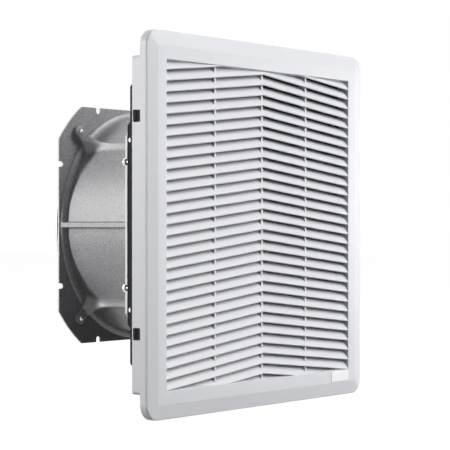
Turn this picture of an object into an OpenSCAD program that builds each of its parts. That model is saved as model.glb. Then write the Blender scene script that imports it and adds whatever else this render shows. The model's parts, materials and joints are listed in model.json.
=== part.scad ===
// Cabinet filter fan: a louvred cover on a square mounting frame, a filter mat,
// a black carrier with a short duct, and an axial fan between two end plates.
// The origin is the centre of the panel cut-out, on the flange's rear face.
// X is to the right seen from the front, +Y points into the cabinet, +Z is up.

/* [Panel and flange] */
// Width and height of the square cut-out in the panel
cutout_w = 292; // [280:1:310]
// Gap between the plug and the cut-out on each side
cutout_gap = 2.75; // [2:0.25:3.5]
// How far the flange reaches past the cut-out
flange_lip = 16.5; // [15:0.5:20]
// Corner radius of the flange and the cover
flange_corner_r = 14; // [10:0.5:16]
// Thickness of the flange behind the cover
flange_t = 6.2; // [6:0.1:8]
// Wall thickness of the plug
plug_wall = 2.6; // [2.2:0.1:3]
// Length of the plug behind the panel's face
plug_len = 24.8; // [24:0.2:32]
// Corner radius of the plug
plug_corner_r = 3; // [2:0.5:6]
// Width of the inner rim at the rear of the plug
rim_w = 12; // [10:0.5:14]
// Thickness of that rim
rim_t = 3; // [2.4:0.2:3.4]
// Width of the foam gasket
gasket_w = 7; // [5:0.5:8]
// Thickness of the gasket, which is the depth of its groove
gasket_t = 2; // [1.5:0.1:2.5]
// Radius of the screw holes in the corners of the flange
corner_hole_r = 2.25; // [2:0.05:2.6]
// Distance of those holes from the flange's edges
corner_hole_inset = 8.5; // [8:0.25:10]

/* [Cover] */
// Parting gap between the cover and the flange
cover_gap = 0.4; // [0.3:0.05:0.6]
// Thickness of the cover's outer edge
cover_edge_t = 0.8; // [0.6:0.1:1.5]
// Depth of the bevel around the cover
bevel_depth = 1.8; // [1.2:0.1:3]
// Width of that bevel
bevel_w = 12.5; // [10:0.5:13]
// Distance from the plug's inner wall to the louvre opening
grille_ledge = 2.15; // [1.9:0.05:2.6]
// Thickness of the skirt around the louvres
skirt_t = 1.4; // [1:0.1:1.6]
// How far the skirt reaches behind the panel's face
skirt_reach = 1.4; // [1:0.1:1.6]
// Vertical pitch of the louvres
slat_pitch = 9.26; // [8.5:0.1:11]
// Rise of a louvre towards the centre line, per unit of width
slat_slope = 0.105; // [0.05:0.005:0.15]
// Thickness of a louvre
slat_t = 1.8; // [1.4:0.1:2.2]
// Height of a louvre from its lip to its rear edge
slat_h = 8.8; // [7.5:0.1:9.2]
// How far the louvres' camber stands out
slat_bulge = 0.9; // [0:0.1:1.2]
// Height of the top lip at the centre line, below the opening's top
slat_start = 3.6; // [0:0.1:9]
// Width of the upright mullions behind the louvres
mullion_w = 2.3; // [1.6:0.1:4]
// Number of mullions
mullion_count = 3; // [1:2:5]
// Width of the blank badge plate
badge_w = 29.6; // [20:0.2:32]
// Height of the badge plate
badge_h = 9.6; // [6:0.2:9.8]
// Thickness of the badge plate
badge_t = 0.8; // [0.5:0.1:1.2]
// Radius of the cover's hinge pegs
peg_r = 1.6; // [1.3:0.05:1.9]
// Length of the hinge pegs
peg_len = 6; // [4:0.5:7]
// Distance from the hinge bar's ends to the flange's edges
hinge_inset = 24; // [22:0.5:40]
// Distance of the two snap tongues from the centre line
tongue_x = 85; // [40:1:110]

/* [Panel clips] */
// Height of a clip window
clip_h = 10.4; // [9:0.2:14]
// Distance of the clips from the middle of the side
clip_z = 92; // [84:1:100]
// How far a clip stands out of the plug
clip_reach = 5; // [4:0.25:6]
// Distance from the panel's face to the clip's catch
clip_grip = 2.4; // [1.8:0.1:3]
// Depth of the clip pocket, from the plug's face
pocket_d = 11.5; // [10.5:0.5:14]
// Wall thickness of the clip pocket
pocket_wall = 1.6; // [1.2:0.1:2]
// Radius of the clip's pivot pin
clip_pin_r = 1.2; // [1:0.05:1.4]

/* [Filter] */
// Gap between the louvres and the mat
mat_front_gap = 0.9; // [0.6:0.1:1.6]
// Gap between the mat and its support
mat_rear_gap = 0.3; // [0.2:0.05:0.5]
// Depth of the support lattice
support_t = 4.2; // [3:0.2:5]
// Width of a lattice bar
lattice_bar = 2.4; // [1.6:0.2:4]
// Spacing of the lattice bars
lattice_pitch = 34; // [24:1:44]

/* [Carrier] */
// Thickness of the carrier plate
carrier_t = 2.4; // [1.5:0.1:3]
// How far the plate stays inside the plug's outline
carrier_inset = 1.2; // [0.6:0.1:2]
// Length that the carrier plate's corners are cut back along each side
carrier_chamfer = 24; // [18:0.5:30]
// Length of the duct behind the carrier plate
duct_len = 31.1; // [24:0.1:40]
// Length that the duct's corners are cut back along each side
duct_chamfer = 21.5; // [19:0.5:24]
// Wall thickness of the duct
duct_wall = 2.4; // [1.8:0.1:3]
// Width of the duct's rim on the carrier plate
duct_rim = 5.6; // [5:0.1:7]
// Thickness of that rim
duct_rim_t = 1.2; // [1:0.1:2]
// Thickness of the adapter plate and its tabs
adapter_t = 1.5; // [1.2:0.1:2]
// Depth of the tabs that are riveted to the duct
tab_len = 7; // [6:0.5:10]
// Width of those tabs
tab_w = 10; // [8:0.5:11]
// Distance of the plate screws and rivets from the middle of each side
rivet_z = 74; // [68:1:78]

/* [Fan] */
// How far the sides of the end plates reach past the ring's beads
plate_margin = 1.25; // [0.75:0.25:3]
// How far the rounded corners of the end plates reach past the beads
corner_margin = 26; // [24:0.5:28]
// Thickness of the front end plate
front_plate_t = 2.6; // [2:0.1:3]
// Thickness of the rear end plate
rear_plate_t = 1.7; // [1.2:0.1:2.5]
// Clear length between the end plates
fan_gap = 77.8; // [76:0.2:86]
// Inner radius of the fan's ring
ring_in_r = 95; // [94.5:0.5:96]
// Wall thickness of the ring
ring_wall = 5.5; // [4.5:0.5:6.5]
// How far the rounded beads at the ring's ends stand out of the wall
bead_out = 6.5; // [5.5:0.5:7]
// Width of the beads along the axis
bead_w = 3.4; // [2.6:0.1:4.5]
// Thickness of the ribs in the middle of each side
rib_t = 4.7; // [3:0.1:6]
// How far the corner gussets stand out of the wall at mid length
gusset_out = 3.7; // [2.5:0.1:6]
// Thickness of the corner gussets
gusset_t = 6; // [4:0.5:8]
// Distance of the corner screws from the plates' rounded corners
lug_inset = 12.8; // [11.6:0.2:14]
// Radius of the screw lugs
lug_r = 5; // [4.5:0.25:6]
// Height of the screw lugs
lug_h = 5.5; // [5:0.5:8]
// Distance of the edge slots from the middle of each side
slot_x = 55; // [48:1:60]
// Width of the edge slots
slot_w = 5; // [4.5:0.25:6]
// Depth of the edge slots
slot_d = 5.5; // [5:0.25:6.5]
// Number of spider arms
arm_count = 4; // [3:1:6]
// Width of a spider arm
arm_w = 9; // [6:0.5:14]
// Thickness of the spider
arm_t = 5; // [3:0.5:7]
// Distance of the spider from the rear plate
arm_gap = 6; // [4:0.5:10]

/* [Motor and impeller] */
// Radius of the shaft
shaft_r = 4; // [3:0.25:5]
// Outer radius of the bearings
bearing_r = 11; // [10:0.25:12]
// Width of a bearing
bearing_w = 7; // [6:0.5:8]
// Wall thickness of the bearing tube
tube_wall = 2.6; // [2:0.1:4]
// Radius of the stator core
stator_r = 37; // [34:0.5:38]
// Length of the stator core
stator_len = 24; // [18:1:26]
// Gap between the stator and the rotor
air_gap = 0.5; // [0.3:0.1:1]
// Thickness of the rotor core
rotor_core_t = 2.5; // [2:0.1:4]
// Wall thickness of the rotor cup
cup_t = 2; // [1.5:0.1:3]
// Length of the rotor cup
cup_len = 42; // [40:1:48]
// Running gap between the rotor cup and the motor base
cup_gap = 4; // [2:0.5:6]
// Number of blades
blade_count = 7; // [5:1:9]
// Tip clearance of the blades
tip_gap = 2.2; // [1.5:0.1:4]
// Chord of a blade
blade_chord = 60; // [45:1:64]
// Angle of a blade to the plane of rotation
blade_pitch = 32; // [24:1:36]
// Camber height of a blade
blade_camber = 5; // [2:0.5:7]
// Thickness of a blade
blade_t = 1.6; // [1.2:0.1:2.5]

/* [Guard and fittings] */
// Wire radius of the finger guard
wire_r = 1.25; // [1:0.05:1.5]
// How far the outermost guard ring reaches past the ring's bore
guard_over = 10.5; // [9:0.5:11.5]
// Spacing of the guard rings
guard_pitch = 12; // [10:0.5:14]
// Number of guard rings
guard_count = 7; // [6:1:7]
// Radius of the fan's screws
screw_r = 1.9; // [1.7:0.05:2.1]
// Height of the screw heads
head_h = 2.2; // [1.6:0.1:3]
// Radius of the screw heads
head_r = 3.6; // [3:0.1:4]
// Width of a nut across its flats
nut_af = 7; // [6.5:0.1:8]
// Height of a nut
nut_h = 3.2; // [2.4:0.1:4]
// Length of the terminal block
terminal_w = 48; // [36:1:64]
// Height of the terminal block
terminal_h = 18; // [14:0.5:20]
// Depth of the terminal block
terminal_d = 17; // [12:0.5:24]

/* [Hidden] */
$fn = 64;

// Clearances: a press or seat within one piece of the assembly, a running fit, a loose gap
seat = 0.02;
run = 0.05;
loose = 0.4;
cut = 1;

plug_half = cutout_w / 2 - cutout_gap;
frame_half = cutout_w / 2 + flange_lip;
tray_half = plug_half - plug_wall;
grille_half = tray_half - grille_ledge;
cover_rear_y = -(flange_t + cover_gap);
cover_edge_y = cover_rear_y - cover_edge_t;
cover_front_y = cover_edge_y - bevel_depth;
flat_half = frame_half - bevel_w;
bar_r = flange_t / 2 - 0.1;
bar_y = -flange_t / 2 - 0.1;
bar_z = -(frame_half - bar_r);
bar_half = frame_half - hinge_inset;
bar_slot_z = bar_z + bar_r + 0.6;
tongue_t = 2;
tongue_w = 10;
tongue_z = frame_half - 5;
tongue_len = flange_t - 2;
gasket_in_half = plug_half + 1.5;
gasket_out_half = gasket_in_half + gasket_w;

chevron_a = atan(slat_slope);
slat_lip_y = cover_front_y + 0.7;
slat_lean = atan2(slat_h, skirt_reach - slat_lip_y);
slat_depth = skirt_reach - 0.2 - slat_lip_y - slat_t * sin(slat_lean);
slat_rise = slat_h - slat_t * cos(slat_lean);
slat_steps = 6;
slat_cross = 0.3;
skirt_lip = 0.6;
slat_end = grille_half - skirt_lip / 2;
liner_y = (cover_front_y + slat_lip_y) / 2;
mullion_y = cover_front_y + 4;
mullion_pitch = 2 * grille_half / (mullion_count + 1);

pivot_y = plug_len - 4.8;
pivot_u = 3.4;
clip_boss_r = clip_pin_r + 1.2;
clip_peak_y = clip_grip + 2.6;
clip_back = 2.4;
pocket_half = clip_h / 2 + pocket_wall;
pocket_y1 = plug_len - 0.8;
window_y0 = 1.6;

rim_y = plug_len - rim_t;
support_y = rim_y - support_t;
mat_y0 = skirt_reach + mat_front_gap;
mat_y1 = support_y - mat_rear_gap;
plate_screw_x = tray_half - rim_w / 2;
plate_screw_r = 1.5;

ring_out_r = ring_in_r + ring_wall;
bead_r = ring_out_r + bead_out;
gusset_mid_r = ring_out_r + gusset_out;
fan_half = bead_r + plate_margin;
plate_round_r = bead_r + corner_margin;
lug_far_r = plate_round_r - lug_inset;
lug_x = lug_far_r / sqrt(2);
guard_r = ring_in_r + guard_over;

carrier_half = plug_half - carrier_inset;
carrier_straight = carrier_half - carrier_chamfer;
carrier_y = plug_len + carrier_t;
adapter_y0 = carrier_y + duct_len;
adapter_y1 = adapter_y0 + adapter_t;
duct_half = fan_half;
duct_straight = duct_half - duct_chamfer;
duct_in_half = duct_half - duct_wall;
duct_in_straight = inner_straight(duct_straight, duct_wall);
rivet_r = 1.2;
rivet_head_r = 2.6;
rivet_y = adapter_y0 - rivet_head_r - 0.3;

front_y = adapter_y1;
ring_y0 = front_y + front_plate_t;
ring_y1 = ring_y0 + fan_gap;
rear_y = ring_y1 + rear_plate_t;
ring_mid_y = (ring_y0 + ring_y1) / 2;
plate_bore_r = ring_in_r + 1;
screw_tip = 0.6;
stud_x = fan_half - slot_d + slot_w / 2;
stud_r = slot_w / 2 - 0.5;

spider_y1 = ring_y1 - arm_gap;
spider_y0 = spider_y1 - arm_t;
seat_disc_r = stator_r - 3;
foot_x = sqrt(pow(ring_in_r, 2) - pow(arm_w / 2, 2)) - seat;
base_t = 4;
base_y0 = spider_y0 - base_t;
tube_out_r = bearing_r + tube_wall;
cup_y1 = base_y0 - cup_gap;
cup_y0 = cup_y1 - cup_len;
cup_in_r = stator_r + air_gap + rotor_core_t + seat;
cup_out_r = cup_in_r + cup_t;
cup_hub_len = 6;
tube_y0 = cup_y0 + cup_t + cup_hub_len + 1.5;
front_bearing_y = tube_y0 + 1;
rear_bearing_y = base_y0 - bearing_w - 1;
stator_y0 = (tube_y0 + base_y0 - stator_len) / 2;
winding_h = 5;
winding_in_r = tube_out_r + 3;
winding_out_r = stator_r - 3;
motor_screw_r = 1.6;
motor_screw_x = (tube_out_r + seat_disc_r) / 2;
hub_wall = 2.5;
hub_out_r = cup_out_r + hub_wall;
rivet_inset = 0.1;
rivet_stand = 0.8;
hub_len = 28;
hub_y0 = cup_y0 + (cup_len - hub_len) / 2;
hub_y = hub_y0 + hub_len / 2;
tip_r = ring_in_r - tip_gap;

spoke_y = rear_y + wire_r;
ring_wire_y = spoke_y + 2 * wire_r - 0.2;
eye_r = 5.4;
eye_y = rear_y + 2 * wire_r;
terminal_z = -(carrier_half + duct_half + duct_rim) / 2;
terminal_poles = 3;
pole_pitch = terminal_w / (terminal_poles + 1);

plastic_grey = [0.80, 0.81, 0.80];
black_paint = [0.10, 0.10, 0.11];
fan_silver = [0.62, 0.63, 0.63];
bright_zinc = [0.82, 0.82, 0.80];
dark_steel = [0.28, 0.28, 0.29];
copper = [0.72, 0.42, 0.22];

// Extrudes a shape drawn in X and Z between two depths
module slab(y0, y1) {
    translate([0, y1, 0]) rotate([90, 0, 0]) linear_extrude(y1 - y0) children();
}

// Turns a profile of radius and depth around the fan's axis
module turned() {
    rotate([-90, 0, 0]) rotate_extrude($fn = 96) children();
}

// A round bar along Y
module ybar(r, y0, y1) {
    translate([0, y0, 0]) rotate([-90, 0, 0]) cylinder(r = r, h = y1 - y0);
}

// A box between two corners
module block(low, high) {
    translate(low) cube(high - low);
}

module rounded_square(half, r) {
    square([2 * half, 2 * (half - r)], center = true);
    square([2 * (half - r), 2 * half], center = true);
    for (x = [-1, 1], z = [-1, 1]) translate([x * (half - r), z * (half - r)]) circle(r);
}

module octagon(half, straight) {
    polygon([[half, -straight], [half, straight], [straight, half], [-straight, half],
        [-half, straight], [-half, -straight], [-straight, -half], [straight, -half]]);
}

// Straight length of an octagon that is drawn inside another one
function inner_straight(straight, inset) = straight - inset * tan(22.5);

// Puts the children at two places on each of the four sides
module on_sides(out, along) {
    for (side = [0:3], s = [-1, 1]) rotate([0, 90 * side, 0]) translate([out, 0, s * along]) children();
}

module at_corners(x) {
    for (sx = [-1, 1], sz = [-1, 1]) translate([sx * x, 0, sz * x]) children();
}

// Puts the children at the four clips: u runs outwards from the plug's side
module at_clip(side, level) {
    translate([side * plug_half, 0, level * clip_z]) mirror([side < 0 ? 1 : 0, 0, 0]) children();
}

module at_clips() {
    for (side = [-1, 1], level = [-1, 1]) at_clip(side, level) children();
}

module clip_pocket(grow) {
    block([-pocket_d - pocket_wall - grow, mat_y0 - grow, -pocket_half - grow],
        [0, plug_len, pocket_half + grow]);
}

module clip_hollow() {
    block([-pocket_d, window_y0, -clip_h / 2], [cut, pocket_y1, clip_h / 2]);
}

module base_frame() {
    color(plastic_grey) difference() {
        union() {
            difference() {
                union() {
                    slab(-flange_t, 0) rounded_square(frame_half, flange_corner_r);
                    slab(-flange_t, plug_len) rounded_square(plug_half, plug_corner_r);
                }
                slab(-flange_t - cut, rim_y) square(2 * tray_half, center = true);
                slab(rim_y - cut, plug_len + cut) square(2 * (tray_half - rim_w), center = true);
            }
            at_clips() clip_pocket(0);
        }
        at_clips() clip_hollow();
        at_clips() translate([-pivot_u, pivot_y, 0])
            cylinder(r = clip_pin_r + seat, h = 2 * pocket_half - 1, center = true);
        slab(-gasket_t, cut) difference() {
            square(2 * gasket_out_half, center = true);
            square(2 * gasket_in_half, center = true);
        }
        at_corners(frame_half - corner_hole_inset) ybar(corner_hole_r, -flange_t - cut, cut);
        on_sides(plate_screw_x, rivet_z) ybar(plate_screw_r + seat, rim_y - cut, plug_len + cut);
        hinge_slot();
        hinge_relief();
        for (s = [-1, 1]) tongue_pocket(s);
        finger_notch();
    }
}

module hinge_slot() {
    block([-bar_half - loose, -flange_t - cut, -frame_half - cut], [bar_half + loose, cut, bar_slot_z]);
    for (s = [-1, 1]) translate([s * (bar_half + peg_len / 2), bar_y, bar_z]) rotate([0, 90, 0])
        cylinder(r = peg_r + run, h = peg_len + 2 * loose, center = true);
}

// Rounds the flange's lower front edge about the hinge's axis, so that the cover can turn
module hinge_relief() {
    difference() {
        block([-frame_half - cut, -flange_t - cut, -frame_half - cut], [frame_half + cut, bar_y, bar_z]);
        translate([0, bar_y, bar_z]) rotate([0, 90, 0])
            cylinder(r = bar_r - 0.1, h = 2 * frame_half + 4 * cut, center = true);
    }
}

module tongue_pocket(s) {
    translate([s * tongue_x, 0, tongue_z])
        block([-tongue_w / 2 - loose, -flange_t - cut, -tongue_t / 2 - loose],
            [tongue_w / 2 + loose, cover_rear_y + tongue_len + 2 * loose, tongue_t / 2 + loose]);
}

// Recess in the top edge where a finger pulls the cover
module finger_notch() {
    notch_half = 14;
    block([-notch_half, -flange_t - cut, frame_half - 2.4], [notch_half, -flange_t / 2, frame_half + cut]);
}

module panel_gasket() {
    color(black_paint) slab(-gasket_t, 0) difference() {
        square(2 * gasket_out_half, center = true);
        square(2 * gasket_in_half, center = true);
    }
}

module front_cover() {
    color(plastic_grey) difference() {
        union() {
            slab(cover_front_y, cover_rear_y) rounded_square(frame_half, flange_corner_r);
            hinge_bar();
            for (s = [-1, 1]) snap_tongue(s);
        }
        for (side = [0:3]) rotate([0, 90 * side, 0]) bevel_cut();
        slab(cover_front_y - cut, cover_rear_y + cut) square(2 * grille_half, center = true);
    }
}

// One louvre's section, from its front lip up to its rear edge, as depth and height
function slat_point(t, back) =
    let (bulge = slat_bulge * sin(180 * t))
    [slat_lip_y + t * slat_depth - bulge * sin(slat_lean) + back * slat_t * sin(slat_lean),
        slat_t * cos(slat_lean) + t * slat_rise + bulge * cos(slat_lean) - back * slat_t * cos(slat_lean)];

function slat_section() = [
    for (i = [0:slat_steps]) slat_point(i / slat_steps, 0),
    for (i = [slat_steps:-1:0]) slat_point(i / slat_steps, 1)];

// The louvres of the left half, which rise towards the centre line and just cross it
module louvre_half() {
    top = grille_half - slat_start;
    count = ceil((2 * grille_half + slat_slope * grille_half + slat_h) / slat_pitch);
    intersection() {
        rotate([0, -chevron_a, 0]) translate([-2 * grille_half, 0, 0]) rotate([90, 0, 90])
            linear_extrude(3 * grille_half) for (i = [-2:count])
                translate([0, (top - i * slat_pitch) * cos(chevron_a)]) polygon(slat_section());
        block([-slat_end, cover_front_y, -slat_end], [slat_cross, skirt_reach + cut, slat_end]);
    }
}

module louvre_grille() {
    color(plastic_grey) {
        slab(cover_rear_y, skirt_reach) difference() {
            square(2 * (grille_half + skirt_t), center = true);
            square(2 * (grille_half - skirt_lip), center = true);
        }
        slab(liner_y, skirt_reach) difference() {
            square(2 * (grille_half - seat), center = true);
            square(2 * (grille_half - skirt_lip), center = true);
        }
        louvre_half();
        mirror([1, 0, 0]) louvre_half();
        for (i = [1:mullion_count]) translate([i * mullion_pitch - grille_half, 0, 0])
            block([-mullion_w / 2, mullion_y, -grille_half],
                [mullion_w / 2, skirt_reach - slat_t, grille_half]);
    }
}

module bevel_cut() {
    slope = bevel_depth / bevel_w;
    linear_extrude(2 * frame_half + 2 * cut, center = true)
        polygon([[flat_half, cover_front_y], [frame_half + cut, cover_edge_y + cut * slope],
            [frame_half + cut, cover_front_y - cut], [flat_half, cover_front_y - cut]]);
}

module hinge_bar() {
    translate([0, bar_y, bar_z]) rotate([0, 90, 0]) {
        cylinder(r = bar_r, h = 2 * bar_half, center = true);
        cylinder(r = peg_r, h = 2 * (bar_half + peg_len), center = true);
    }
    block([-bar_half, cover_rear_y - cover_edge_t / 2, bar_z - bar_r], [bar_half, bar_y, bar_z + bar_r]);
}

module snap_tongue(s) {
    translate([s * tongue_x, 0, tongue_z])
        block([-tongue_w / 2, cover_rear_y - cover_edge_t / 2, -tongue_t / 2],
            [tongue_w / 2, cover_rear_y + tongue_len, tongue_t / 2]);
}

module badge_plate() {
    badge_corner_r = 1.5;
    color("white") translate([grille_half - badge_w / 2, 0, -(flat_half + grille_half) / 2])
        slab(cover_front_y - badge_t, cover_front_y) {
            square([badge_w, badge_h - 2 * badge_corner_r], center = true);
            square([badge_w - 2 * badge_corner_r, badge_h], center = true);
            for (x = [-1, 1], z = [-1, 1])
                translate([x * (badge_w / 2 - badge_corner_r), z * (badge_h / 2 - badge_corner_r)])
                    circle(badge_corner_r);
        }
}

// A clip's outline seen from above: a ramp that ends in a catch behind the panel
module panel_clip() {
    color(black_paint) difference() {
        linear_extrude(clip_h - 2 * loose, center = true) polygon([
            for (a = [0:20:180]) [-pivot_u + clip_boss_r * cos(a), pivot_y + clip_boss_r * sin(a)],
            [-clip_back - 1.4, clip_peak_y], [-clip_back, clip_grip + 1], [0, clip_grip],
            [clip_reach, clip_peak_y - 1], [clip_reach, clip_peak_y]]);
        translate([-pivot_u, pivot_y, 0]) cylinder(r = clip_pin_r + run, h = clip_h, center = true);
    }
}

module clip_left_upper() { at_clip(-1, 1) panel_clip(); }
module clip_left_lower() { at_clip(-1, -1) panel_clip(); }
module clip_right_upper() { at_clip(1, 1) panel_clip(); }
module clip_right_lower() { at_clip(1, -1) panel_clip(); }

module clip_pins() {
    color(bright_zinc) at_clips() translate([-pivot_u, pivot_y, 0])
        cylinder(r = clip_pin_r, h = 2 * pocket_half - 1.2, center = true);
}

module filter_mat() {
    color("dimgray") difference() {
        slab(mat_y0, mat_y1) square(2 * (tray_half - loose), center = true);
        at_clips() clip_pocket(loose);
    }
}

module filter_support() {
    half = tray_half - loose;
    color(plastic_grey) difference() {
        slab(support_y, rim_y) {
            difference() {
                square(2 * half, center = true);
                square(2 * (half - 2 * lattice_bar), center = true);
            }
            bars = floor((half - lattice_bar) / lattice_pitch);
            for (i = [-bars:bars]) {
                translate([i * lattice_pitch, 0]) square([lattice_bar, 2 * half], center = true);
                translate([0, i * lattice_pitch]) square([2 * half, lattice_bar], center = true);
            }
        }
        at_clips() clip_pocket(loose);
    }
}

module carrier_plate() {
    color(black_paint) difference() {
        slab(plug_len, carrier_y) difference() {
            octagon(carrier_half, carrier_straight);
            octagon(duct_in_half, duct_in_straight);
        }
        on_sides(plate_screw_x, rivet_z) ybar(plate_screw_r + seat, plug_len - cut, carrier_y + cut);
        translate([terminal_w, 0, terminal_z]) ybar(screw_r + seat, plug_len - cut, carrier_y + cut);
    }
}

module plate_screws() {
    color(bright_zinc) on_sides(plate_screw_x, rivet_z) {
        ybar(plate_screw_r, rim_y + 0.2, carrier_y + head_h / 2);
        pan_head(carrier_y, 2.75, 1.9);
    }
}

// A pan head that stands on a face and points to +Y, with a cross recess
module pan_head(y, r, h) {
    edge = h * 0.35;
    translate([0, y, 0]) difference() {
        rotate([-90, 0, 0]) {
            cylinder(r = r, h = h - edge);
            translate([0, 0, h - edge]) cylinder(r1 = r, r2 = r - edge, h = edge);
        }
        for (a = [0, 90]) rotate([0, a, 0])
            block([-r * 0.55, h * 0.45, -r * 0.12], [r * 0.55, h + cut, r * 0.12]);
    }
}

module fan_duct() {
    color(black_paint) difference() {
        union() {
            slab(carrier_y, adapter_y0) octagon(duct_half, duct_straight);
            slab(carrier_y, carrier_y + duct_rim_t)
                octagon(duct_half + duct_rim, inner_straight(duct_straight, -duct_rim));
        }
        slab(carrier_y - cut, adapter_y0 + cut) octagon(duct_in_half, duct_in_straight);
        rivet_places() cylinder(r = rivet_r + seat, h = adapter_t + duct_wall + cut);
    }
}

// Puts the children on the inner faces of the adapter plate's tabs, pointing outwards
module rivet_places() {
    on_sides(duct_in_half - adapter_t, rivet_z) translate([0, rivet_y, 0]) rotate([0, 90, 0]) children();
}

// A plate across the duct's end, with tabs turned in against the duct's walls
module adapter_plate() {
    color(black_paint) difference() {
        union() {
            slab(adapter_y0, adapter_y1) octagon(duct_half, duct_straight);
            on_sides(duct_in_half, rivet_z)
                block([-adapter_t, adapter_y0 - tab_len, -tab_w / 2], [-seat, adapter_y1, tab_w / 2]);
        }
        ybar(plate_bore_r, adapter_y0 - cut, adapter_y1 + cut);
        rivet_places() translate([0, 0, -cut]) cylinder(r = rivet_r + seat, h = adapter_t + 2 * cut);
        on_sides(stud_x, slot_x) ybar(stud_r + seat, adapter_y0 - cut, adapter_y1 + cut);
    }
}

module adapter_rivets() {
    head = 1.2;
    grip = adapter_t + duct_wall;
    color(bright_zinc) rivet_places() {
        cylinder(r = rivet_r, h = grip + head);
        translate([0, 0, grip]) cylinder(r = rivet_head_r, h = head / 2);
        translate([0, 0, grip + head / 2]) cylinder(r1 = rivet_head_r, r2 = rivet_head_r / 2, h = head / 2);
    }
}

module fan_studs() {
    color(bright_zinc) on_sides(stud_x, slot_x)
        ybar(stud_r, adapter_y0 + 0.2, front_y + front_plate_t + nut_h + 1.4);
}

module hex_nut(y, bore) {
    translate([0, y, 0]) rotate([-90, 0, 0]) difference() {
        cylinder(r = nut_af / sqrt(3), h = nut_h, $fn = 6);
        translate([0, 0, -cut]) cylinder(r = bore, h = nut_h + 2 * cut);
    }
}

module fan_nuts() {
    color(bright_zinc) on_sides(stud_x, slot_x) hex_nut(ring_y0, stud_r + seat);
}

// A square end plate with rounded corners and open slots in its edges
module end_plate(y0, y1, hole_r) {
    difference() {
        slab(y0, y1) difference() {
            intersection() {
                square(2 * fan_half, center = true);
                circle(plate_round_r, $fn = 96);
            }
            for (side = [0:3], s = [-1, 1]) rotate(90 * side) translate([fan_half, s * slot_x]) {
                translate([-slot_d + slot_w / 2, -slot_w / 2]) square([slot_d, slot_w]);
                translate([-slot_d + slot_w / 2, 0]) circle(slot_w / 2);
            }
        }
        ybar(plate_bore_r, y0 - cut, y1 + cut);
        at_corners(lug_x) ybar(hole_r, y0 - cut, y1 + cut);
    }
}

module fan_front_plate() {
    color(fan_silver) difference() {
        end_plate(front_y, ring_y0, screw_r + run);
        at_corners(lug_x) ybar(head_r + run, front_y - cut, front_y + front_plate_t * 0.6);
    }
}

module fan_rear_plate() {
    color(fan_silver) end_plate(ring_y1, rear_y, screw_r + run);
}

// A rounded bead against its plate, as radius and height above the plate
module bead_section() {
    steps = 5;
    polygon([[ring_in_r + 2, 0],
        for (i = [0:steps]) let (a = 90 * i / steps) [ring_out_r + bead_out * cos(a), bead_w * sin(a)],
        [ring_in_r + 2, bead_w]]);
}

function gusset_r(s) = gusset_mid_r + (lug_far_r - gusset_mid_r) * pow(abs(s), 2.2);

module gusset() {
    steps = 8;
    half = fan_gap / 2;
    linear_extrude(gusset_t, center = true) polygon([
        [ring_in_r + 2, ring_y0],
        for (i = [-steps:steps]) [gusset_r(i / steps), ring_mid_y + half * i / steps],
        [ring_in_r + 2, ring_y1]]);
}

module fan_housing() {
    color(fan_silver) difference() {
        union() {
            turned() {
                translate([ring_in_r, ring_y0]) square([ring_out_r - ring_in_r, fan_gap]);
                translate([0, ring_y0]) bead_section();
                translate([0, ring_y1]) mirror([0, 1]) bead_section();
            }
            for (side = [0:3]) rotate([0, 90 * side, 0]) {
                block([ring_in_r + 2, ring_y0, -rib_t / 2], [bead_r, ring_y1, rib_t / 2]);
                rotate([0, 45, 0]) gusset();
            }
            at_corners(lug_x) {
                ybar(lug_r, ring_y0, ring_y0 + lug_h);
                ybar(lug_r, ring_y1 - lug_h, ring_y1);
            }
        }
        at_corners(lug_x) {
            ybar(screw_r + run, ring_y0 - cut, ring_y0 + lug_h + cut);
            ybar(screw_r + run, ring_y1 - lug_h - cut, ring_y1 + cut);
        }
    }
}

// Arms that carry the motor's seat, with feet against the ring's bore
module motor_spider() {
    foot_t = 2;
    color(fan_silver) difference() {
        union() {
            ybar(seat_disc_r, spider_y0, spider_y1);
            for (i = [0:arm_count - 1]) rotate([0, 45 + 360 * i / arm_count, 0]) {
                block([seat_disc_r - 4, spider_y0, -arm_w / 2], [foot_x, spider_y1, arm_w / 2]);
                block([foot_x - foot_t, spider_y0 - arm_t, -arm_w / 2], [foot_x, spider_y1, arm_w / 2]);
            }
        }
        ybar(bearing_r, spider_y0 - cut, spider_y1 + cut);
        motor_places() ybar(motor_screw_r + seat, spider_y0 - cut, spider_y1 + cut);
    }
}

module motor_places() {
    for (i = [0:3]) rotate([0, 90 * i, 0]) translate([motor_screw_x, 0, 0]) children();
}

module front_plate_screws() {
    color(bright_zinc) at_corners(lug_x) {
        ybar(screw_r, front_y + 0.2, ring_y0 + lug_h);
        ybar(head_r, front_y + 0.2, front_y + front_plate_t * 0.6);
    }
}

module corner_screws() {
    color(bright_zinc) at_corners(lug_x) {
        ybar(screw_r, ring_y1 - lug_h - screw_tip, eye_y + head_h / 2);
        pan_head(eye_y, head_r, head_h);
    }
}

// Wire rings on four spokes that end in flat eyes under the corner screws
module finger_guard() {
    color(bright_zinc) difference() {
        union() {
            turned() for (i = [0:guard_count - 1])
                translate([guard_r - i * guard_pitch, ring_wire_y]) circle(wire_r, $fn = 24);
            for (i = [0:3]) rotate([0, 45 + 90 * i, 0]) translate([0, spoke_y, 0]) rotate([0, 90, 0])
                translate([0, 0, guard_r - (guard_count - 1) * guard_pitch - wire_r])
                    cylinder(r = wire_r, h = lug_far_r - guard_r + (guard_count - 1) * guard_pitch, $fn = 24);
            at_corners(lug_x) ybar(eye_r, rear_y, eye_y);
        }
        at_corners(lug_x) ybar(screw_r + run, rear_y - cut, eye_y + cut);
    }
}

module motor_base() {
    color(dark_steel) difference() {
        union() {
            ybar(seat_disc_r, base_y0, spider_y0);
            ybar(tube_out_r, tube_y0, spider_y0);
        }
        ybar(bearing_r, tube_y0 - cut, spider_y0 + cut);
        motor_places() ybar(motor_screw_r + seat, base_y0 - cut, spider_y0 + cut);
    }
}

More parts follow.
